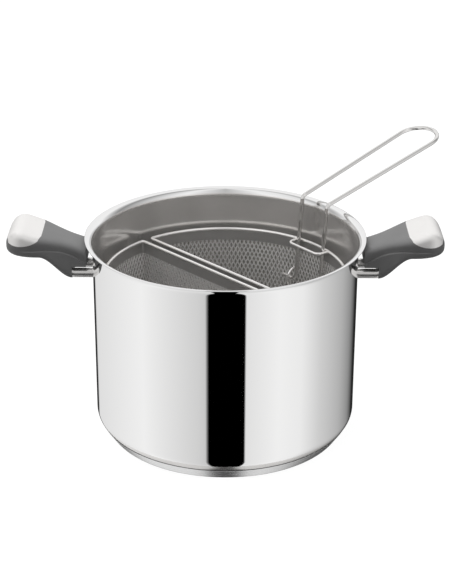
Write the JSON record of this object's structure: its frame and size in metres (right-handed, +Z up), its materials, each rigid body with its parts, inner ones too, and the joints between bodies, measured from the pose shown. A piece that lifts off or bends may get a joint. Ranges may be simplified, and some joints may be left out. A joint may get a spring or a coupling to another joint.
{
  "type": "pasta pot with strainer insert",
  "caption": "Deep mirror-polished steel pot with a capsule base and two wide grips, holding half-moon wire strainer inserts; a bent wire handle hooks into an insert to lift it out to drain.",
  "frame": {"origin": "middle of the pot's flat underside, where it stands on the stove", "axes": "+Z up, +X along the two side handles, +Y away from the pictured front; right-handed; metres"},
  "size_m": [0.4082, 0.3048, 0.2379],
  "materials": {
    "polished_steel": "mirror-polished stainless steel outside, fine circular brushing inside",
    "core_aluminium": "plain aluminium disc, enclosed by the capsule",
    "brushed_rod": "satin stainless steel rod and screw",
    "grip_plastic": "fine-grained dark grey heat-resistant plastic",
    "cap_steel": "light satin stainless steel shell",
    "wire_steel": "electropolished stainless steel wire",
    "mesh_steel": "expanded and pressed stainless steel sheet"
  },
  "bodies": {
    "pot": {"pot_shell": "polished_steel", "base_core": "core_aluminium", "base_capsule": "polished_steel", "right_bracket": "brushed_rod", "right_grip": "grip_plastic", "right_grip_cap": "cap_steel", "right_grip_screw": "brushed_rod", "left_bracket": "brushed_rod", "left_grip": "grip_plastic", "left_grip_cap": "cap_steel", "left_grip_screw": "brushed_rod"},
    "rear_insert": {"rear_rim_wire": "wire_steel", "rear_top_band": "mesh_steel", "rear_side_mesh": "mesh_steel", "rear_divider_mesh": "mesh_steel", "rear_floor_mesh": "mesh_steel", "rear_foot_wire": "wire_steel", "rear_keeper": "wire_steel", "rear_left_eye": "wire_steel", "rear_right_eye": "wire_steel"},
    "front_insert": {"front_rim_wire": "wire_steel", "front_top_band": "mesh_steel", "front_side_mesh": "mesh_steel", "front_divider_mesh": "mesh_steel", "front_floor_mesh": "mesh_steel", "front_foot_wire": "wire_steel", "front_keeper": "wire_steel", "front_left_eye": "wire_steel", "front_right_eye": "wire_steel"},
    "handle": {"lift_handle": "wire_steel"}
  },
  "joints": [
    {"name": "rear_insert_lift", "type": "slide", "parent": "pot", "child": "rear_insert", "axis": [0, 0, 1], "range_m": [0, 0.2]},
    {"name": "front_insert_lift", "type": "slide", "parent": "pot", "child": "front_insert", "axis": [0, 0, 1], "range_m": [0, 0.2]},
    {"name": "lift_handle_tilt", "type": "hinge", "parent": "rear_insert", "child": "handle", "pos_m": [0.07918, 0.06527, 0.11174], "axis": [0.6361, -0.7716, 0], "range_deg": [0, 8]}
  ]
}
